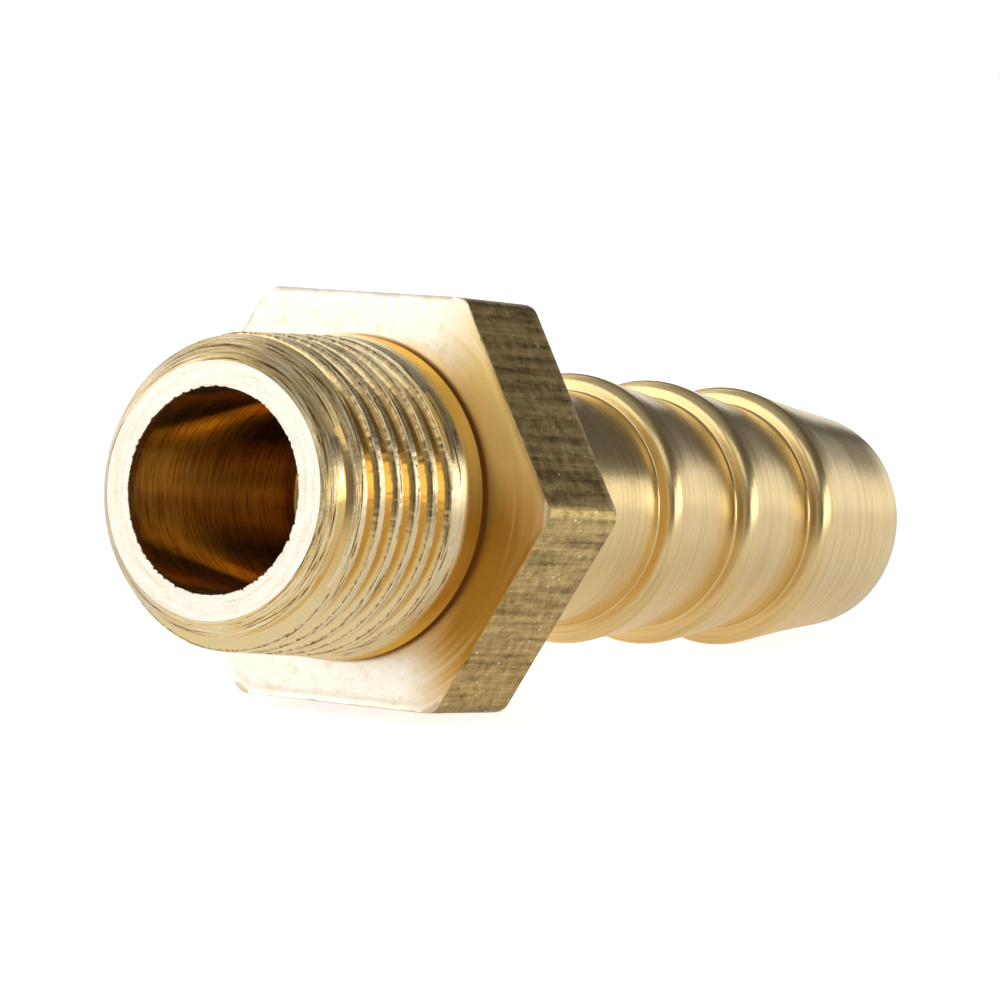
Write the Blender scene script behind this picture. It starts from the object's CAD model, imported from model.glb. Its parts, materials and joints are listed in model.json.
import json
import math
import random
from types import SimpleNamespace

import bmesh
import bpy
from mathutils import Matrix, Vector

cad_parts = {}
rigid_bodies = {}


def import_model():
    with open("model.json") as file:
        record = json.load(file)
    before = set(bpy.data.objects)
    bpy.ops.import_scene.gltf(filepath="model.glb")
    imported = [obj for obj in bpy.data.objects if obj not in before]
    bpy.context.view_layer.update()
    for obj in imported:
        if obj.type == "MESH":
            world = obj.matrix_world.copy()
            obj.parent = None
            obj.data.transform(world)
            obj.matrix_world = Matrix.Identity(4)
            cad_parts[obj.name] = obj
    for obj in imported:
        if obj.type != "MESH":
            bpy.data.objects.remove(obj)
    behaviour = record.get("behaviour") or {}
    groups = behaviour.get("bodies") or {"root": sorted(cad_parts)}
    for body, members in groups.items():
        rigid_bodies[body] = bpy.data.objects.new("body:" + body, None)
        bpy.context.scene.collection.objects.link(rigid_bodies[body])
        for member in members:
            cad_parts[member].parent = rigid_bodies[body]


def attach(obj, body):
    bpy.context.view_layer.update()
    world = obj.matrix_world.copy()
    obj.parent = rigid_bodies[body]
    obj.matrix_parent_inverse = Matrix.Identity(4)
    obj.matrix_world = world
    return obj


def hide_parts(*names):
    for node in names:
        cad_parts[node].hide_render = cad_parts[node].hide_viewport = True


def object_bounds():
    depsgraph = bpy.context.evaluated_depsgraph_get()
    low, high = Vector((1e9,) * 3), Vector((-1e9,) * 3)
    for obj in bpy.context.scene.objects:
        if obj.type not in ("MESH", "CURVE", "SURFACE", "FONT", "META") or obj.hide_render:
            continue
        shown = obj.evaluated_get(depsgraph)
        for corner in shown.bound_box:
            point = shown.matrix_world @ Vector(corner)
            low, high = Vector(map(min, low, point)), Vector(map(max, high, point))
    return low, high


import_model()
cad_box = [list(corner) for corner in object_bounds()]

# -------------------------------------------------------------------------------------------------
# Sizes of the fitting, in millimetres along and out from the turning axis
# -------------------------------------------------------------------------------------------------
MM = 0.001
LEAN = math.radians(5.7631)       # the axis dips this much towards the tail

HEX_FLATS = 12.7
HEX_FRONT = 7.25
HEX_BACK = 11.2
HEX_CORNER = 0.601
FACE_CHAMFER_RADIUS = 7.12
FACE_CHAMFER_SLOPE = math.tan(math.radians(30))

BORE_RADIUS = 3.075
END_FACE_RADIUS = 3.9
LEAD_IN = 1.0
GAUGE_RADIUS = 4.865
GAUGE_LENGTH = 4.0
TAPER = 1 / 32
THREAD_RUN = 5.50
COLLAR_CONE_RADIUS = 4.81
COLLAR_CONE_END = 6.25
COLLAR_RADIUS = 5.0
COLLAR_MIDDLE = 6.7
COLLAR_EDGE = 0.05
RELIEF_START = 7.05
RELIEF_RADIUS = 4.85

NECK_RADIUS = 3.85
NECK_END = 19.5
BARB_PITCH = 5.03
BARBS = 3
BARB_RADIUS = 4.5
SHOULDER_LEAN = 0.07
CREST_ROUND = 0.42
ROOT_ROUND = 0.08
TIP = 37.0
NOSE_START = 33.1
NOSE_RADIUS = 4.05
NOSE_BLEND = 6.0
TIP_RADIUS = 3.65
TIP_ROUND = 1.1
TAIL_BORE_RADIUS = 2.5
BORE_DEPTH = 8.7
STEP_LENGTH = 0.3455
TAIL_BORE_START = BORE_DEPTH + STEP_LENGTH

# Thread
PITCH = 0.907
START_TURN = 0.419                # where the first crest meets the end, in turns
WHOLE_TURNS = 20.0                # added so that the count of turns is never below 0
THREAD_DEPTH = 0.44
CREST_WIDTH = 0.29                # share of the pitch that is left flat
ROOT_WIDTH = 0.31
RUN_OUT_START = 5.40
RUN_OUT_END = 5.85
TEARING = 0.026                   # how far the die has torn the crests
TEARS_PER_METRE = 5200.0
FLECKS_PER_METRE = 6500.0
TORN_EDGE = 0.855                 # leading edge of the crest, as a share of the pitch
TORN_EDGE_WIDTH = 0.05
CUT_FROM = 0.119                  # only points past this length and radius are moved
CUT_OUTSIDE = 3.88
FLANK_FROM = 0.03                 # cut deeper than this, a face has the flanks' finish

# Front edge of the hexagon: broken, chipped, with a thin lip raised by the facing tool
EDGE_BREAK = 0.022
EDGE_DROP = 0.8                   # the break's depth, as a share of its width
CHIP_WIDTH = 0.06
CHIP_DEPTH = 0.07
LIP_RISE = 0.006
LIP_WAVE = 0.016
LIP_WIDTH = 0.11
LIP_HOLLOW = 0.012
BACK_EDGE_BREAK = 0.03

# Torn rim of the mouth
RIM_CHIP = 0.075
RIM_NICK = 0.035
RIM_DEPTH = 0.05
RIM_FOOT = 0.14

# How finely the body is divided
COLUMNS = 336                     # faces round the plain parts
FINE = 2 * COLUMNS                # faces round the thread and the mouth
CORNER_COLUMNS = 6                # on each half of a corner of the hexagon
SIDE_ROWS = 12
LONGEST_ROW = 1.2
ROUND_STEP = math.radians(14)
SHARP_ANGLE = math.radians(38)
BACK_FACE_SHARES = (0.35, 0.7, 0.992)
FRONT_FACE_SHARES = (0.93, 0.8, 0.6, 0.4, 0.2)
END_FACE_RINGS = (3.6, 3.35)
ZONE_START = 0.12                 # rows between these follow the helix
ZONE_END = 6.12
ZONE_TURNS = range(-2, 9)
# rows across one pitch, as shares of it from the middle of a crest
ROW_PLACES = (0.0, 0.07, 0.135, 0.158, 0.25, 0.345, 0.655, 0.75, 0.842, 0.865, 0.93)


def thread_radius(along):
    return GAUGE_RADIUS + (along - GAUGE_LENGTH) * TAPER


# -------------------------------------------------------------------------------------------------
# Small helpers
# -------------------------------------------------------------------------------------------------
def to_linear(code):
    """sRGB hex colour to linear RGBA."""
    parts = [int(code[i:i + 2], 16) / 255 for i in (1, 3, 5)]
    return [p / 12.92 if p <= 0.04045 else ((p + 0.055) / 1.055) ** 2.4 for p in parts] + [1.0]


def add_node(tree, kind, inputs=(), out=0, **settings):
    """Adds a node with its settings, and gives its output `out`, or the node where `out` is None.

    Inputs come in order or by name; each is a value, or a socket that is linked to it.
    """
    node = tree.nodes.new(kind)
    for name, value in settings.items():
        setattr(node, name, value)
    for key, value in inputs.items() if isinstance(inputs, dict) else enumerate(inputs):
        if isinstance(value, bpy.types.NodeSocket):
            tree.links.new(value, node.inputs[key])
        else:
            node.inputs[key].default_value = value
    return node if out is None else node.outputs[out]


MATH = "ShaderNodeMath"
RAMP = "ShaderNodeMapRange"       # 0 at its second input, 1 at its third, held level outside them
NOISE = "ShaderNodeTexNoise"
SPLIT = "ShaderNodeSeparateXYZ"
BUILD = "ShaderNodeCombineXYZ"
VECTOR = "ShaderNodeVectorMath"


def rounded(points, radii):
    """A profile through the points, each inner corner rounded by its radius."""
    path = [Vector(points[0])]
    for before, corner, after, radius in zip(points, points[1:], points[2:], radii):
        corner = Vector(corner)
        back = (Vector(before) - corner).normalized()
        ahead = (Vector(after) - corner).normalized()
        half = back.angle(ahead) / 2
        reach = radius / math.tan(half)
        centre = corner + (back + ahead).normalized() * radius / math.sin(half)
        start = corner + back * reach - centre
        end = corner + ahead * reach - centre
        turn = start.angle_signed(end)
        steps = max(2, round(abs(turn) / ROUND_STEP))
        for i in range(steps + 1):
            path.append(centre + Matrix.Rotation(-turn * i / steps, 2) @ start)
    path.append(Vector(points[-1]))
    return path


def divided(path, longest):
    """The same profile with points added wherever a straight run is longer than `longest`."""
    out = [path[0]]
    for a, b in zip(path, path[1:]):
        steps = max(1, math.ceil((b - a).length / longest))
        out += [a.lerp(b, i / steps) for i in range(1, steps + 1)]
    return out


class Chatter:
    """Smooth seeded unevenness round the axis: the mix of a few waves that close on themselves."""

    def __init__(self, seed, waves):
        pick = random.Random(seed)
        self.waves = [(n, pick.uniform(0, math.tau), pick.uniform(0.5, 1.0)) for n in waves]
        self.total = sum(size for _, _, size in self.waves)

    def __call__(self, turn):
        return sum(size * math.sin(n * turn + at) for n, at, size in self.waves) / self.total


class Ragged:
    """Seeded torn edge round the axis: mostly 0, with chips up to 1 at random places."""

    def __init__(self, seed, count, share):
        pick = random.Random(seed)
        self.count = count
        self.values = [pick.random() ** 1.5 if pick.random() < share else 0.0
                       for _ in range(count)]

    def __call__(self, turn):
        place = turn / math.tau * self.count
        low = math.floor(place)
        mix = place - low
        return (self.values[low % self.count] * (1 - mix)
                + self.values[(low + 1) % self.count] * mix)


# -------------------------------------------------------------------------------------------------
# The turned body as one closed grid: rings of points, outside from the tip to the mouth and back
# through the waterway. Every ring is a list of (along, y, z) in millimetres.
# -------------------------------------------------------------------------------------------------
HEX_FACE, HEX_SIDES, TURNED, THREADED, END_FACE, DRILLED, FLANK, LEADING = range(8)


def ring(along, radius, count=COLUMNS):
    turns = [math.tau * j / count for j in range(count)]
    return [(along, radius * math.cos(turn), radius * math.sin(turn)) for turn in turns]


def hexagon():
    """Outline of the bar, one point per column, with its corners rounded."""
    centre = (HEX_FLATS / 2 - HEX_CORNER) / math.cos(math.radians(30))
    corner_end = centre + HEX_CORNER * math.cos(math.radians(30))
    per_side = COLUMNS // 6
    out = []
    for j in range(COLUMNS):
        side, i = divmod(j, per_side)
        if i <= CORNER_COLUMNS or i >= per_side - CORNER_COLUMNS:
            corner, step = (side, i) if i <= CORNER_COLUMNS else (side + 1, i - per_side)
            bend = math.radians(30 * step / CORNER_COLUMNS)
            point = Vector((centre + HEX_CORNER * math.cos(bend), HEX_CORNER * math.sin(bend)))
            out.append(Matrix.Rotation(math.radians(60 * corner), 2) @ point)
        else:
            share = (i - CORNER_COLUMNS) / (per_side - 2 * CORNER_COLUMNS)
            a, b = (Matrix.Rotation(math.radians(60 * corner), 2) @ Vector((corner_end, across))
                    for corner, across in ((side, HEX_CORNER / 2), (side + 1, -HEX_CORNER / 2)))
            out.append(a.lerp(b, share))
    return out


def tail_profile():
    """Tail from the hexagon's back face to the tail bore, as (along, radius)."""
    corners = [(HEX_BACK, NECK_RADIUS)]
    for i in range(BARBS):
        root = NECK_END + i * BARB_PITCH
        corners += [(root, NECK_RADIUS), (root + SHOULDER_LEAN, BARB_RADIUS)]
    corners += [(NOSE_START, NOSE_RADIUS), (TIP, TIP_RADIUS), (TIP, TAIL_BORE_RADIUS)]
    radii = [ROOT_ROUND, CREST_ROUND] * BARBS + [NOSE_BLEND, TIP_ROUND]
    return divided(rounded(corners, radii), LONGEST_ROW)


def blank_point(along, turn):
    """Surface of the thread blank: lead-in cone, taper, then the collar's cone."""
    if along < LEAD_IN:
        radius = END_FACE_RADIUS + (thread_radius(LEAD_IN) - END_FACE_RADIUS) * along / LEAD_IN
    elif along < THREAD_RUN:
        radius = thread_radius(along)
    else:
        share = (along - THREAD_RUN) / (COLLAR_CONE_END - THREAD_RUN)
        radius = COLLAR_CONE_RADIUS + (COLLAR_RADIUS - COLLAR_CONE_RADIUS) * min(share, 1)
    return (along, radius * math.cos(turn), radius * math.sin(turn))


class Body:
    """Collects points by key and faces with their material, so that rings can share points."""

    def __init__(self):
        self.points, self.ids, self.faces, self.kinds = [], {}, [], []

    def point(self, co):
        key = tuple(round(c, 5) for c in co)
        if key not in self.ids:
            self.ids[key] = len(self.points)
            self.points.append(co)
        return self.ids[key]

    def face(self, corners, kind):
        """Adds a face, without the corners that fall together."""
        loop = [c for i, c in enumerate(corners) if i == 0 or c != corners[i - 1]]
        if loop[0] == loop[-1]:
            loop.pop()
        if len(loop) >= 3:
            self.faces.append(loop)
            self.kinds.append(kind)

    def join(self, first, second, kind):
        """Faces between two rings; the second may have twice or half as many points."""
        a, b = [self.point(c) for c in first], [self.point(c) for c in second]
        n, m = len(a), len(b)
        if n == m:
            for j in range(n):
                k = (j + 1) % n
                self.face((a[j], a[k], b[k], b[j]), kind)
            return
        fine, coarse = (a, b) if n > m else (b, a)
        for j in range(len(coarse)):
            k = (j + 1) % len(coarse)
            f0, f1, f2 = fine[2 * j], fine[2 * j + 1], fine[(2 * j + 2) % len(fine)]
            for corners in ((f0, f1, coarse[j]), (f1, coarse[k], coarse[j]), (f1, f2, coarse[k])):
                self.face(corners if n > m else corners[::-1], kind)

    def join_all(self, rings):
        for (first, kind), (second, _) in zip(rings, rings[1:]):
            self.join(first, second, kind)


def between(along, inner, outer, share):
    """A ring in a flat face, at a share of the way from one outline to another."""
    return [(along, *a.lerp(b, share)) for a, b in zip(inner, outer)]


def hexagon_rings():
    """Back face, flats, broken front edge with its lip, and front face, each with its kind."""
    outline = hexagon()
    neck = [Vector(p[1:]) for p in ring(0, NECK_RADIUS)]
    rings = [(between(HEX_BACK, neck, outline, share), TURNED) for share in BACK_FACE_SHARES]
    rings.append(([(HEX_BACK - BACK_EDGE_BREAK, *p) for p in outline], HEX_SIDES))
    for k in range(1, SIDE_ROWS):
        along = HEX_BACK + (HEX_FRONT - HEX_BACK) * k / SIDE_ROWS
        rings.append(([(along, *p) for p in outline], HEX_SIDES))

    lip = Chatter(7, (5, 9, 14, 23, 37, 51, 68, 83))
    edge_chips = Ragged(11, 336, 0.22)
    front_edge, face_edge, behind_lip = [], [], []
    for p in outline:
        turn = math.atan2(p.y, p.x)
        chip = edge_chips(turn)
        over = p.length - FACE_CHAMFER_RADIUS     # the corners reach into the turned chamfer
        cut = max(EDGE_BREAK + CHIP_WIDTH * chip, over)
        drop = max(EDGE_BREAK * EDGE_DROP + CHIP_DEPTH * chip, over * FACE_CHAMFER_SLOPE)
        raised = 0.0 if over > 0 else max(0.0, LIP_RISE + LIP_WAVE * lip(turn))
        inner = p * (1 - cut / p.length)
        front_edge.append((HEX_FRONT + drop, *p))
        face_edge.append((HEX_FRONT - raised, *inner))
        behind_lip.append((HEX_FRONT + LIP_HOLLOW, *(inner * (1 - LIP_WIDTH / p.length))))
    rings += [(points, HEX_FACE) for points in (front_edge, face_edge, behind_lip)]
    root = [Vector(p[1:]) for p in ring(0, RELIEF_RADIUS)]
    rim = [Vector(p[1:]) for p in behind_lip]
    rings += [(between(HEX_FRONT, root, rim, share), HEX_FACE) for share in FRONT_FACE_SHARES]
    return rings


def collar_rings():
    """Relief groove and collar, up to where the fine rings start."""
    places = ((HEX_FRONT, RELIEF_RADIUS), (RELIEF_START + 0.02, RELIEF_RADIUS),
              (RELIEF_START, COLLAR_RADIUS - COLLAR_EDGE),
              (RELIEF_START - COLLAR_EDGE, COLLAR_RADIUS), (COLLAR_MIDDLE, COLLAR_RADIUS),
              (COLLAR_CONE_END + COLLAR_EDGE, COLLAR_RADIUS))
    rings = [(ring(along, radius), TURNED) for along, radius in places]
    rings.append((ring(COLLAR_CONE_END - 0.02, COLLAR_RADIUS - 0.008, FINE), TURNED))
    return rings


def add_thread_rows(body):
    """Thread zone: rows that follow the helix, squeezed together at both ends."""
    places = [turn + place for turn in ZONE_TURNS for place in ROW_PLACES]

    def spot(row, j):
        along = PITCH * (places[row] + j / FINE - START_TURN)
        return blank_point(min(max(along, ZONE_START), ZONE_END), math.tau * (j % FINE) / FINE)

    for row in range(len(places) - 1):
        for j in range(FINE):
            corners = [spot(row, j), spot(row, j + 1), spot(row + 1, j + 1), spot(row + 1, j)]
            ids = [body.point(c) for c in corners][::-1]
            if len(set(ids)) >= 3:
                on_lead_in = sum(c[0] for c in corners) < 4 * LEAD_IN
                body.face(ids, LEADING if on_lead_in else THREADED)


def mouth_rings():
    """End face and its torn inner rim."""
    rings = [([blank_point(ZONE_START, math.tau * j / FINE) for j in range(FINE)], LEADING),
             (ring(0.03, END_FACE_RADIUS - 0.005, FINE), LEADING),
             (ring(0.0, END_FACE_RADIUS - 0.04, FINE), END_FACE)]
    rings += [(ring(0.0, radius, FINE), END_FACE) for radius in END_FACE_RINGS]
    chips = Ragged(3, 290, 0.30)
    nicks = Ragged(19, 672, 0.5)
    torn_face, torn_lip, torn_wall = [], [], []
    for j in range(FINE):
        turn = math.tau * j / FINE
        bite = RIM_CHIP * chips(turn) + RIM_NICK * nicks(turn)
        for points, along, radius in ((torn_face, 0.0, BORE_RADIUS + 0.010 + bite),
                                      (torn_lip, RIM_DEPTH, BORE_RADIUS + 0.006 + bite * 0.8),
                                      (torn_wall, RIM_FOOT + bite, BORE_RADIUS)):
            points.append((along, radius * math.cos(turn), radius * math.sin(turn)))
    return rings + [(torn_face, END_FACE), (torn_lip, DRILLED), (torn_wall, DRILLED)]


def waterway_rings():
    """Wide drilling, its step, and the bore of the tail."""
    wall = [(0.9 + 1.1 * k, BORE_RADIUS) for k in range(8)]
    wall += [(BORE_DEPTH, BORE_RADIUS), (TAIL_BORE_START, TAIL_BORE_RADIUS)]
    wall += [(TAIL_BORE_START + (TIP - TAIL_BORE_START) * k / 8, TAIL_BORE_RADIUS)
             for k in range(1, 8)]
    rings = [(ring(0.45, BORE_RADIUS, FINE), DRILLED)]
    return rings + [(ring(along, radius), DRILLED) for along, radius in wall]


def build_blank():
    """The fitting before its thread is cut, in its own axis frame."""
    body = Body()
    tail = tail_profile()[::-1]
    rings = [(ring(*p), TURNED) for p in tail[:-1]] + [(ring(HEX_BACK, NECK_RADIUS), TURNED)]
    rings += hexagon_rings() + collar_rings()
    body.join_all(rings)
    add_thread_rows(body)
    zone_edge = [blank_point(ZONE_END, math.tau * j / FINE) for j in range(FINE)]
    body.join(rings[-1][0], zone_edge, TURNED)
    body.join_all(mouth_rings() + waterway_rings() + [rings[0]])
    return body


# -------------------------------------------------------------------------------------------------
# Geometry Nodes: the helical thread, cut into the blank by moving its points in towards the axis
# -------------------------------------------------------------------------------------------------
def thread_cutter(flank_finish):
    tree = bpy.data.node_groups.new("cut_taper_thread", "GeometryNodeTree")
    face = tree.interface
    face.new_socket("Geometry", in_out="INPUT", socket_type="NodeSocketGeometry")
    sizes = {"Pitch": PITCH * MM, "Depth": THREAD_DEPTH * MM, "Gauge radius": GAUGE_RADIUS * MM,
             "Gauge length": GAUGE_LENGTH * MM, "Taper": TAPER,
             "Run-out start": RUN_OUT_START * MM, "Run-out end": RUN_OUT_END * MM,
             "Crest width": CREST_WIDTH, "Root width": ROOT_WIDTH, "Start turn": START_TURN,
             "Tearing": TEARING * MM}
    ids = {}
    for name, value in sizes.items():
        socket = face.new_socket(name, in_out="INPUT", socket_type="NodeSocketFloat")
        socket.default_value = value
        ids[name] = socket.identifier
    face.new_socket("Geometry", in_out="OUTPUT", socket_type="NodeSocketGeometry")
    given = add_node(tree, "NodeGroupInput", out=None).outputs

    # where each point is: length along the axis, radius, and place in its pitch
    place = add_node(tree, "GeometryNodeInputPosition")
    along, y, z = add_node(tree, SPLIT, (place,), out=None).outputs
    y_square = add_node(tree, MATH, (y, y), operation="MULTIPLY")
    z_square = add_node(tree, MATH, (z, z), operation="MULTIPLY")
    both_squares = add_node(tree, MATH, (y_square, z_square), operation="ADD")
    radius = add_node(tree, MATH, (both_squares,), operation="SQRT")
    angle = add_node(tree, MATH, (z, y), operation="ARCTAN2")
    turn = add_node(tree, MATH, (angle, math.tau), operation="DIVIDE")
    pitches = add_node(tree, MATH, (along, given["Pitch"]), operation="DIVIDE")
    wound_back = add_node(tree, MATH, (pitches, turn), operation="SUBTRACT")
    start = add_node(tree, MATH, (given["Start turn"], WHOLE_TURNS), operation="ADD")
    helix = add_node(tree, MATH, (wound_back, start), operation="ADD")
    phase = add_node(tree, MATH, (helix,), operation="FRACT")

    # cut: 0 on the crest, 1 in the root, straight flanks between
    off_middle = add_node(tree, MATH, (phase, 0.5), operation="SUBTRACT")
    from_root = add_node(tree, MATH, (off_middle,), operation="ABSOLUTE")
    from_crest = add_node(tree, MATH, (0.5, from_root), operation="SUBTRACT")
    half_crest = add_node(tree, MATH, (given["Crest width"], 2.0), operation="DIVIDE")
    half_root = add_node(tree, MATH, (given["Root width"], 2.0), operation="DIVIDE")
    root_edge = add_node(tree, MATH, (0.5, half_root), operation="SUBTRACT")
    cut = add_node(tree, RAMP, (from_crest, half_crest, root_edge))
    # the tool leaves the metal gradually before the collar
    fade = add_node(tree, RAMP, (along, given["Run-out end"], given["Run-out start"]))

    # the crests lie on the taper, and are torn inwards
    past_gauge = add_node(tree, MATH, (along, given["Gauge length"]), operation="SUBTRACT")
    widening = add_node(tree, MATH, (past_gauge, given["Taper"]), operation="MULTIPLY")
    crest = add_node(tree, MATH, (given["Gauge radius"], widening), operation="ADD")
    tears = add_node(tree, NOISE, {"Vector": place, "Scale": TEARS_PER_METRE, "Detail": 3.0,
                                   "Roughness": 0.6})
    tears_both_ways = add_node(tree, MATH, (tears, 0.5), operation="SUBTRACT")
    tear_size = add_node(tree, MATH, (given["Tearing"], 2.0), operation="MULTIPLY")
    torn = add_node(tree, MATH, (tears_both_ways, tear_size), operation="MULTIPLY")
    full_depth = add_node(tree, MATH, (cut, given["Depth"]), operation="MULTIPLY")
    depth = add_node(tree, MATH, (full_depth, fade), operation="MULTIPLY")
    mostly_cut = add_node(tree, MATH, (cut, 0.85), operation="MULTIPLY")
    mostly_crest = add_node(tree, MATH, (1.0, mostly_cut), operation="SUBTRACT")
    near_crest = add_node(tree, MATH, (mostly_crest, fade), operation="MULTIPLY")
    smooth_cut = add_node(tree, MATH, (crest, depth), operation="SUBTRACT")
    unevenness = add_node(tree, MATH, (torn, near_crest), operation="MULTIPLY")
    wanted = add_node(tree, MATH, (smooth_cut, unevenness), operation="ADD")
    torn_inwards = add_node(tree, MATH, (torn, 0.0), operation="MINIMUM")
    bites = add_node(tree, MATH, (torn_inwards, near_crest), operation="MULTIPLY")
    bitten_blank = add_node(tree, MATH, (radius, bites), operation="ADD")
    new_radius = add_node(tree, MATH, (bitten_blank, wanted), operation="MINIMUM")
    share = add_node(tree, MATH, (new_radius, radius), operation="DIVIDE")

    # the crest's leading edge is torn: its points wander along the axis as well
    off_edge = add_node(tree, MATH, (phase, TORN_EDGE), operation="SUBTRACT")
    edge_distance = add_node(tree, MATH, (off_edge,), operation="ABSOLUTE")
    edge_share = add_node(tree, MATH, (edge_distance, TORN_EDGE_WIDTH), operation="DIVIDE")
    edge = add_node(tree, MATH, (1.0, edge_share), operation="SUBTRACT", use_clamp=True)
    flecks = add_node(tree, NOISE, {"Vector": place, "Scale": FLECKS_PER_METRE, "Detail": 3.0,
                                    "Roughness": 0.7})
    flecks_both_ways = add_node(tree, MATH, (flecks, 0.5), operation="SUBTRACT")
    fleck_size = add_node(tree, MATH, (given["Tearing"], 1.8), operation="MULTIPLY")
    wander = add_node(tree, MATH, (flecks_both_ways, fleck_size), operation="MULTIPLY")
    on_edge = add_node(tree, MATH, (edge, fade), operation="MULTIPLY")
    shift = add_node(tree, MATH, (wander, on_edge), operation="MULTIPLY")
    new_along = add_node(tree, MATH, (along, shift), operation="ADD")
    new_y = add_node(tree, MATH, (y, share), operation="MULTIPLY")
    new_z = add_node(tree, MATH, (z, share), operation="MULTIPLY")
    moved = add_node(tree, BUILD, (new_along, new_y, new_z))

    # only the thread is moved, not the end face, the bore or the collar
    past_end = add_node(tree, MATH, (along, CUT_FROM * MM), operation="GREATER_THAN")
    before_collar = add_node(tree, MATH, (along, given["Run-out end"]), operation="LESS_THAN")
    outside = add_node(tree, MATH, (radius, CUT_OUTSIDE * MM), operation="GREATER_THAN")
    between_ends = add_node(tree, MATH, (before_collar, outside), operation="MULTIPLY")
    on_thread = add_node(tree, MATH, (past_end, between_ends), operation="MULTIPLY")
    cut_away = add_node(tree, MATH, (radius, smooth_cut), operation="SUBTRACT")
    cut_here = add_node(tree, MATH, (cut_away, on_thread), operation="MULTIPLY")

    keep = add_node(tree, "GeometryNodeCaptureAttribute", out=None, domain="FACE")
    keep.capture_items.new("FLOAT", "cut away")
    tree.links.new(given["Geometry"], keep.inputs[0])
    tree.links.new(cut_here, keep.inputs[1])
    put = add_node(tree, "GeometryNodeSetPosition",
                   {"Geometry": keep.outputs[0], "Selection": on_thread, "Position": moved})
    real = add_node(tree, "GeometryNodeRealizeInstances", (put,))
    deep = add_node(tree, MATH, (keep.outputs[1], FLANK_FROM * MM), operation="GREATER_THAN")
    dressed = add_node(tree, "GeometryNodeSetMaterial",
                       {"Geometry": real, "Selection": deep, "Material": flank_finish})
    add_node(tree, "NodeGroupOutput", (dressed,), out=None)
    return tree, ids, sizes


def make_body(finishes):
    """The blank with its thread cut, leaned as it lies, as one plain mesh."""
    blank = build_blank()
    mesh = bpy.data.meshes.new("blank")
    mesh.from_pydata([[c * MM for c in p] for p in blank.points], [], blank.faces)
    mesh.polygons.foreach_set("material_index", blank.kinds)
    for finish in finishes:
        mesh.materials.append(finish)
    work = bpy.data.objects.new("blank", mesh)
    bpy.context.scene.collection.objects.link(work)
    tree, ids, sizes = thread_cutter(finishes[FLANK])
    cutter = work.modifiers.new("thread", "NODES")
    cutter.node_group = tree
    for name, value in sizes.items():
        cutter[ids[name]] = value
    bpy.context.view_layer.update()
    evaluated = work.evaluated_get(bpy.context.evaluated_depsgraph_get())
    made = bpy.data.meshes.new_from_object(evaluated)
    bpy.data.objects.remove(work)

    grid = bmesh.new()
    grid.from_mesh(made)
    lean = Matrix.Rotation(LEAN, 3, "Y")
    bmesh.ops.rotate(grid, verts=grid.verts, cent=(0, 0, 0), matrix=lean)
    bmesh.ops.recalc_face_normals(grid, faces=grid.faces)
    for face in grid.faces:
        face.smooth = True
    grid.to_mesh(made)
    grid.free()
    made.name = "hose_tail_brass"
    made.set_sharp_from_angle(angle=SHARP_ANGLE)
    piece = bpy.data.objects.new("hose_tail_brass", made)
    bpy.context.scene.collection.objects.link(piece)
    return piece


# -------------------------------------------------------------------------------------------------
# Brass finishes. Lengths in their patterns are in millimetres, in the fitting's own axis frame.
# -------------------------------------------------------------------------------------------------
def start_finish(name):
    """A new material, its tree, and where on the fitting each point of the surface lies."""
    material = bpy.data.materials.new(name)
    material.use_nodes = True
    tree = material.node_tree
    tree.nodes.clear()
    coords = add_node(tree, "ShaderNodeTexCoord", out="Object")
    point = add_node(tree, "ShaderNodeMapping", {"Vector": coords, "Rotation": (0, -LEAN, 0),
                                                 "Scale": (1 / MM, 1 / MM, 1 / MM)})
    along, y, z = add_node(tree, SPLIT, (point,), out=None).outputs
    outwards = add_node(tree, BUILD, {1: y, 2: z})
    radius = add_node(tree, VECTOR, (outwards,), out="Value", operation="LENGTH")
    at = SimpleNamespace(point=point, along=along, y=y, z=z, radius=radius)
    return material, tree, at


def brass(material, colour, roughness, normal, **more):
    """Free-cutting brass: a metal with the given colour, roughness and normal."""
    tree = material.node_tree
    shader = add_node(tree, "ShaderNodeBsdfPrincipled", {
        "Metallic": 1.0, "Base Color": colour, "Roughness": roughness, "Normal": normal, **more})
    add_node(tree, "ShaderNodeOutputMaterial", {"Surface": shader}, out=None)
    return material


def lathe_lines(tree, at, per_mm, detail=3.0, around=1.2):
    """Fine grooves round the axis: each one fades in and out as it goes round.

    A finishing tool leaves rings about 0.05 mm apart. They are drawn up to four times as coarse,
    so that they show.
    """
    outline = add_node(tree, MATH, (at.along, at.radius), operation="ADD")
    line = add_node(tree, MATH, (outline, per_mm), operation="MULTIPLY")
    round_axis = []
    for side in (at.y, at.z):
        level = add_node(tree, MATH, (side, at.radius), operation="DIVIDE")
        round_axis.append(add_node(tree, MATH, (level, around), operation="MULTIPLY"))
    place = add_node(tree, BUILD, (line, *round_axis))
    return add_node(tree, NOISE, {"Vector": place, "Scale": 1.0, "Detail": detail,
                                  "Roughness": 0.65})


def pits(tree, at, per_mm, radius, share):
    """1 in small round pits up to a radius: a share of the cells of a coarse grid holds one."""
    cells = add_node(tree, "ShaderNodeTexVoronoi", {"Vector": at.point, "Scale": per_mm}, out=None)
    chance, size, _ = add_node(tree, "ShaderNodeSeparateColor", (cells.outputs["Color"],),
                               out=None).outputs
    reach = add_node(tree, MATH, (size, radius * per_mm), operation="MULTIPLY")
    inside = add_node(tree, MATH, (cells.outputs["Distance"], reach), operation="LESS_THAN")
    chosen = add_node(tree, MATH, (chance, share), operation="LESS_THAN")
    return add_node(tree, MATH, (inside, chosen), operation="MULTIPLY")


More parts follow.
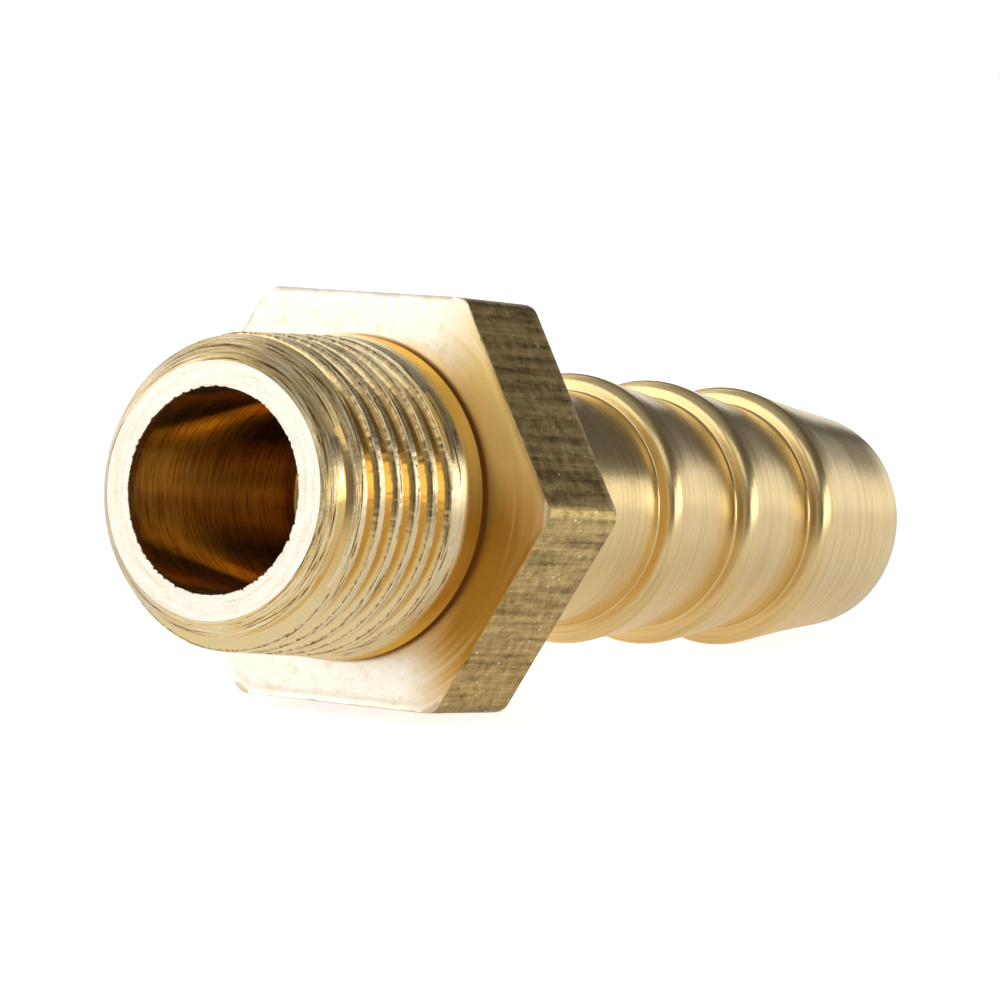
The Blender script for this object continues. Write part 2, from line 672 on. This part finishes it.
def tinted(tree, colour, *tints):
    """A colour with each (colour, amount) mixed over it in turn."""
    mixed = to_linear(colour)
    for tint, amount in tints:
        mixed = add_node(tree, "ShaderNodeMix", {"Factor": amount, 6: mixed, 7: to_linear(tint)},
                         out=2, data_type="RGBA")
    return mixed


def bumps(tree, *layers):
    """The normal over stacked bump layers, each (height, depth)."""
    under = {}
    for height, depth in layers:
        normal = add_node(tree, "ShaderNodeBump", {"Strength": 1.0, "Distance": depth * MM,
                                                   "Height": height, **under})
        under = {"Normal": normal}
    return normal


def faced_brass():
    # Faced and almost white: shallow rings, faint clouds and a few pits. On one side of the collar
    # gold is mixed in, deeper in the lower half, and the foot of the collar is darker all round.
    material, tree, at = start_finish("faced_brass")
    cuts = lathe_lines(tree, at, 5.0, 3.0, 0.6)
    streaks = add_node(tree, MATH, (cuts, 1.8, 0.1), operation="MULTIPLY_ADD")
    near_collar = add_node(tree, RAMP, (at.radius, 8.3, 5.9))
    side = add_node(tree, RAMP, (at.y, -2.3, -5.3), interpolation_type="SMOOTHSTEP")
    patch = add_node(tree, MATH, (near_collar, side), operation="MULTIPLY")
    warm = add_node(tree, MATH, (patch, streaks), operation="MULTIPLY")
    broad = add_node(tree, MATH, (warm, 1.5), operation="MULTIPLY", use_clamp=True)
    deeper = add_node(tree, MATH, (warm, 1.25), operation="MULTIPLY")
    lower_half = add_node(tree, RAMP, (at.z, 1.4, -1.0))
    core = add_node(tree, MATH, (deeper, lower_half), operation="MULTIPLY", use_clamp=True)
    roughness = add_node(tree, MATH, (broad, 0.13, 0.32), operation="MULTIPLY_ADD")
    oxide = add_node(tree, NOISE, {"Vector": at.point, "Scale": 2.2, "Detail": 6.0,
                                   "Roughness": 0.7})
    clouds = add_node(tree, RAMP, (oxide, 0.52, 0.77))
    holes = pits(tree, at, 1.3, 0.085, 0.30)
    foot = add_node(tree, RAMP, (at.radius, 5.10, 4.98))
    grain = add_node(tree, NOISE, {"Vector": at.point, "Scale": 9.0, "Detail": 4.0,
                                   "Roughness": 0.6})
    colour = tinted(tree, "#f8f1e2", ("#e6d2a0", clouds), ("#f4d58c", broad), ("#c8953f", core),
                    ("#b8924e", foot), ("#6b3f1c", holes))
    normal = bumps(tree, (cuts, 0.005), (grain, 0.003), (holes, -0.03))
    return brass(material, colour, roughness, normal)


def end_face_brass():
    # The brightest face: a single pass of the tool with faint cross chatter and a fine grain.
    material, tree, at = start_finish("end_face_brass")
    grain = add_node(tree, NOISE, {"Vector": at.point, "Scale": 16.0, "Detail": 3.0,
                                   "Roughness": 0.7})
    rings = lathe_lines(tree, at, 9.0, 4.0, 2.5)
    both = add_node(tree, MATH, (grain, rings), operation="ADD")
    mean = add_node(tree, MATH, (both, 0.5), operation="MULTIPLY")
    dull = add_node(tree, RAMP, (mean, 0.52, 0.32))
    colour = tinted(tree, "#f7f0e2", ("#dcc594", dull))
    return brass(material, colour, 0.34, bumps(tree, (rings, 0.006), (grain, 0.006)))


def crest_brass():
    # Bright and torn: the die has rubbed the crests and left rings and small pits full of dirt.
    material, tree, at = start_finish("thread_crest_brass")
    holes = pits(tree, at, 3.0, 0.045, 0.10)
    scratches = add_node(tree, RAMP, (lathe_lines(tree, at, 8.0, 5.0, 3.0), 0.44, 0.39))
    rings = lathe_lines(tree, at, 9.0, 4.0, 2.0)
    grain = add_node(tree, NOISE, {"Vector": at.point, "Scale": 14.0, "Detail": 4.0,
                                   "Roughness": 0.7})
    colour = tinted(tree, "#f8e6ba", ("#94723c", scratches), ("#4a2f14", holes))
    normal = bumps(tree, (rings, 0.010), (grain, 0.005), (holes, -0.03))
    return brass(material, colour, 0.24, normal)


def flank_brass():
    # Smooth and golden: the cut flanks mirror one another, and a film of old oil deepens them at
    # mid height. A ragged dark edge lies under each crest.
    material, tree, at = start_finish("thread_flank_brass")
    angle = add_node(tree, MATH, (at.z, at.y), operation="ARCTAN2")
    turn = add_node(tree, MATH, (angle, math.tau), operation="DIVIDE")
    pitches = add_node(tree, MATH, (at.along, PITCH), operation="DIVIDE")
    wound_back = add_node(tree, MATH, (pitches, turn), operation="SUBTRACT")
    helix = add_node(tree, MATH, (wound_back, START_TURN + WHOLE_TURNS), operation="ADD")
    phase = add_node(tree, MATH, (helix,), operation="FRACT")
    tears = add_node(tree, NOISE, {"Vector": at.point, "Scale": 6.0, "Detail": 5.0,
                                   "Roughness": 0.75})
    both_ways = add_node(tree, MATH, (tears, 0.5), operation="SUBTRACT")
    ragged = add_node(tree, MATH, (both_ways, 0.12), operation="MULTIPLY")
    torn_phase = add_node(tree, MATH, (phase, ragged), operation="ADD")
    under_crest = add_node(tree, RAMP, (torn_phase, 0.818, 0.848))
    holes = pits(tree, at, 3.0, 0.05, 0.12)
    off_middle = add_node(tree, MATH, (at.z, 0.4), operation="SUBTRACT")
    height = add_node(tree, MATH, (off_middle,), operation="ABSOLUTE")
    oiled = add_node(tree, RAMP, (height, 3.6, 2.2, 0.0, 0.55))
    colour = tinted(tree, "#f5dda6", ("#e3b455", oiled), ("#80602f", under_crest),
                    ("#4a2f14", holes))
    normal = bumps(tree, (lathe_lines(tree, at, 9.0, 3.0), 0.004), (holes, -0.03))
    return brass(material, colour, 0.17, normal)


def lead_in_brass():
    # Bright and dark hair lines: the lead-in cone keeps every ring of a coarse pass.
    material, tree, at = start_finish("lead_in_brass")
    lines = lathe_lines(tree, at, 10.0, 5.0, 2.6)
    dark = add_node(tree, RAMP, (lines, 0.45, 0.40))
    light = add_node(tree, RAMP, (lines, 0.53, 0.58))
    grain = add_node(tree, NOISE, {"Vector": at.point, "Scale": 14.0, "Detail": 4.0,
                                   "Roughness": 0.7})
    colour = tinted(tree, "#f3d494", ("#765326", dark), ("#fff0cc", light))
    return brass(material, colour, 0.22, bumps(tree, (lines, 0.020), (grain, 0.006)))


def turned_brass():
    # Satin: close tool rings on the collar, neck and barbs, lighter and darker in turn. The collar
    # is more golden above and below, and its relief groove holds a darker film.
    material, tree, at = start_finish("turned_brass")
    lines = lathe_lines(tree, at, 6.0, 4.0, 0.8)
    dull = add_node(tree, RAMP, (lines, 0.53, 0.37))
    bands = []
    for start, end in ((COLLAR_CONE_END + 0.01, HEX_FRONT - 0.05),
                       (RELIEF_START - 0.055, HEX_FRONT - 0.01)):
        past_start = add_node(tree, MATH, (at.along, start), operation="GREATER_THAN")
        before_end = add_node(tree, MATH, (at.along, end), operation="LESS_THAN")
        bands.append(add_node(tree, MATH, (past_start, before_end), operation="MULTIPLY"))
    on_collar, in_groove = bands
    height = add_node(tree, MATH, (at.z,), operation="ABSOLUTE")
    above_or_below = add_node(tree, RAMP, (height, 2.2, 3.8))
    golden = add_node(tree, MATH, (on_collar, above_or_below), operation="MULTIPLY")
    waves = add_node(tree, NOISE, {"Vector": at.point, "Scale": 2.0, "Detail": 3.0,
                                   "Roughness": 0.6})
    colour = tinted(tree, "#f5da9f", ("#e8ca8c", dull), ("#f0cb7c", golden),
                    ("#c39a52", in_groove))
    return brass(material, colour, 0.25, bumps(tree, (lines, 0.005), (waves, 0.005)),
                 **{"Specular Tint": tinted(tree, "#ffffff", ("#f6dc9c", golden))})


def drilled_brass():
    # Deep gold: the wall mirrors itself many times; its rings smear each light into a streak along
    # the bore.
    material, tree, at = start_finish("drilled_brass")
    around = add_node(tree, "ShaderNodeTangent", direction_type="RADIAL", axis="X")
    rings = lathe_lines(tree, at, 12.0, 4.0, 2.0)
    dull = add_node(tree, RAMP, (rings, 0.52, 0.40))
    dirt = pits(tree, at, 0.8, 0.16, 0.12)
    waves = add_node(tree, NOISE, {"Vector": at.point, "Scale": 2.0, "Detail": 4.0,
                                   "Roughness": 0.6})
    colour = tinted(tree, "#ecc878", ("#b98d42", dull), ("#241505", dirt))
    return brass(material, colour, 0.19, bumps(tree, (rings, 0.003), (waves, 0.006)),
                 **{"Anisotropic": 0.9, "Anisotropic Rotation": 0.25, "Tangent": around})


def drawn_brass():
    # Duller: the bar's drawn skin, streaked along its length and clouded olive by oxide.
    material, tree, at = start_finish("drawn_bar_brass")
    stretched = add_node(tree, "ShaderNodeMapping",
                         {"Vector": at.point, "Scale": (0.16, 4.0, 4.0)})
    streaks = add_node(tree, NOISE, {"Vector": stretched, "Scale": 1.0, "Detail": 6.0,
                                     "Roughness": 0.62})
    clouds = add_node(tree, NOISE, {"Vector": at.point, "Scale": 2.4, "Detail": 7.0,
                                    "Roughness": 0.75})
    half_clouds = add_node(tree, MATH, (clouds, 0.5), operation="MULTIPLY")
    mean = add_node(tree, MATH, (streaks, 0.5, half_clouds), operation="MULTIPLY_ADD")
    dull = add_node(tree, RAMP, (mean, 0.59, 0.39))
    specks = pits(tree, at, 5.0, 0.06, 0.14)
    colour = tinted(tree, "#edcd87", ("#83682f", dull), ("#fff4d8", specks))
    normal = bumps(tree, (streaks, 0.012), (clouds, 0.022), (specks, 0.03))
    return brass(material, colour, 0.34, normal)


# in the order of the kinds of face
finishes = [faced_brass(), drawn_brass(), turned_brass(), crest_brass(), end_face_brass(),
            drilled_brass(), flank_brass(), lead_in_brass()]
body = make_body(finishes)
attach(body, "root")
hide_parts("hose_tail")

# -------------------------------------------------------------------------------------------------
# Floor, light and camera
# -------------------------------------------------------------------------------------------------
FLOOR_HALF = 1.5
FLOOR_SHOWN = 0.8                 # lifts the floor to white for the eye
FLOOR_GREY = 0.77                 # the floor as the metal sees it
FLOOR_GLOW = 0.34
FLOOR_FALL = 0.65                 # how much of both is lost near the camera
FLOOR_FALL_FROM = 0.03
FLOOR_FALL_TO = 0.12
ROOM_DARK = 0.10
ROOM_LIGHT = 0.42
ROOM_LIGHT_WAY = (-100, 40)       # bearing and rise of the lighter side of the room
WHITE = (1, 1, 1, 1)
CAMERA_AT = Vector((-119.302, -86.000, 14.691))
CAMERA_FORWARD = Vector((0.83938, 0.53423, -0.10020))
CAMERA_UP = Vector((0.07291, 0.07201, 0.99474))
LAMPS_ROUND = Vector((0.015, 0, 0))


def bearing_way(bearing, rise):
    """The way out from the fitting: degrees right of the camera's forward way, and of rise."""
    ahead = Vector((CAMERA_FORWARD.x, CAMERA_FORWARD.y, 0)).normalized()
    right = Vector((ahead.y, -ahead.x, 0))
    turn, lift = math.radians(bearing), math.radians(rise)
    level = ahead * math.cos(turn) + right * math.sin(turn)
    return level * math.cos(lift) + Vector((0, 0, math.sin(lift)))


def lay_floor():
    """A white table. The metal sees it greyer, and darker towards the camera."""
    height = cad_box[0][2]
    mesh = bpy.data.meshes.new("floor")
    mesh.from_pydata([(x * FLOOR_HALF, y * FLOOR_HALF, height)
                      for x, y in ((-1, -1), (1, -1), (1, 1), (-1, 1))], [], [(0, 1, 2, 3)])
    floor = bpy.data.objects.new("floor", mesh)
    bpy.context.scene.collection.objects.link(floor)
    material = bpy.data.materials.new("white_table")
    mesh.materials.append(material)
    material.use_nodes = True
    tree = material.node_tree
    tree.nodes.clear()

    paper = add_node(tree, "ShaderNodeBsdfDiffuse", {"Color": to_linear("#e4e4e4")})
    shown = add_node(tree, "ShaderNodeEmission", {"Color": WHITE, "Strength": FLOOR_SHOWN})
    white = add_node(tree, "ShaderNodeAddShader", (paper, shown))

    spot = add_node(tree, "ShaderNodeNewGeometry", out="Position")
    near = add_node(tree, VECTOR, (spot, bearing_way(180, 0)), out="Value",
                    operation="DOT_PRODUCT")
    shade = add_node(tree, RAMP, (near, FLOOR_FALL_FROM, FLOOR_FALL_TO, 1.0, 1.0 - FLOOR_FALL))
    grey = add_node(tree, MATH, (shade, FLOOR_GREY), operation="MULTIPLY")
    glow = add_node(tree, MATH, (shade, FLOOR_GLOW), operation="MULTIPLY")
    tone = add_node(tree, "ShaderNodeCombineColor", (grey, grey, grey))
    toned = add_node(tree, "ShaderNodeBsdfDiffuse", {"Color": tone})
    lit = add_node(tree, "ShaderNodeEmission", {"Color": WHITE, "Strength": glow})
    soft = add_node(tree, "ShaderNodeAddShader", (toned, lit))

    to_eye = add_node(tree, "ShaderNodeLightPath", out="Is Camera Ray")
    seen = add_node(tree, "ShaderNodeMixShader", (to_eye, soft, white))
    add_node(tree, "ShaderNodeOutputMaterial", {"Surface": seen}, out=None)


def light_room():
    """A white background for the eye; the metal sees a dim room, lighter on one side."""
    world = bpy.data.worlds.new("studio")
    bpy.context.scene.world = world
    world.use_nodes = True
    tree = world.node_tree
    tree.nodes.clear()
    way = add_node(tree, "ShaderNodeTexCoord", out="Generated")
    towards = add_node(tree, VECTOR, (way, bearing_way(*ROOM_LIGHT_WAY)), out="Value",
                       operation="DOT_PRODUCT")
    level = add_node(tree, RAMP, (towards, 0.0, 1.0, ROOM_DARK, ROOM_LIGHT))
    room = add_node(tree, "ShaderNodeBackground", {"Color": WHITE, "Strength": level})
    white = add_node(tree, "ShaderNodeBackground", {"Color": WHITE, "Strength": 1.0})
    to_eye = add_node(tree, "ShaderNodeLightPath", out="Is Camera Ray")
    seen = add_node(tree, "ShaderNodeMixShader", (to_eye, room, white))
    add_node(tree, "ShaderNodeOutputWorld", {"Surface": seen}, out=None)


def set_camera():
    forward = CAMERA_FORWARD.normalized()
    side = forward.cross(CAMERA_UP).normalized()
    data = bpy.data.cameras.new("camera")
    data.sensor_width = 36
    data.lens = 180
    data.clip_start = 0.01
    data.clip_end = 10
    camera = bpy.data.objects.new("camera", data)
    turn = Matrix((side, side.cross(forward), -forward)).transposed().to_4x4()
    camera.matrix_world = Matrix.Translation(CAMERA_AT * MM) @ turn
    bpy.context.scene.collection.objects.link(camera)
    bpy.context.scene.camera = camera


def softbox(name, bearing, rise, reach, width, height, brightness):
    """A soft area lamp round the fitting, facing it; a brightness of 1 shows as white."""
    way = bearing_way(bearing, rise)
    data = bpy.data.lights.new(name, "AREA")
    data.shape = "RECTANGLE"
    data.size, data.size_y = width, height
    data.energy = brightness * math.pi * width * height
    lamp = bpy.data.objects.new(name, data)
    lamp.location = LAMPS_ROUND + way * reach
    lamp.rotation_euler = way.to_track_quat("Z", "Y").to_euler()
    bpy.context.scene.collection.objects.link(lamp)


lay_floor()
light_room()
set_camera()
softbox("left_softbox", -98, 23, 0.6, 1.05, 0.60, 1.12)
softbox("top_softbox", -40, 46, 0.6, 0.50, 0.36, 0.42)
softbox("back_panel", -18, 6.5, 0.8, 0.95, 0.34, 0.95)
softbox("right_panel", 42, 4.8, 0.2, 0.155, 0.041, 0.88)
softbox("right_softbox", 107, 8.0, 0.6, 1.05, 0.24, 2.0)
softbox("overhead_card", 180, 36, 0.6, 0.34, 0.24, 0.8)

bpy.context.scene.view_settings.view_transform = "Standard"
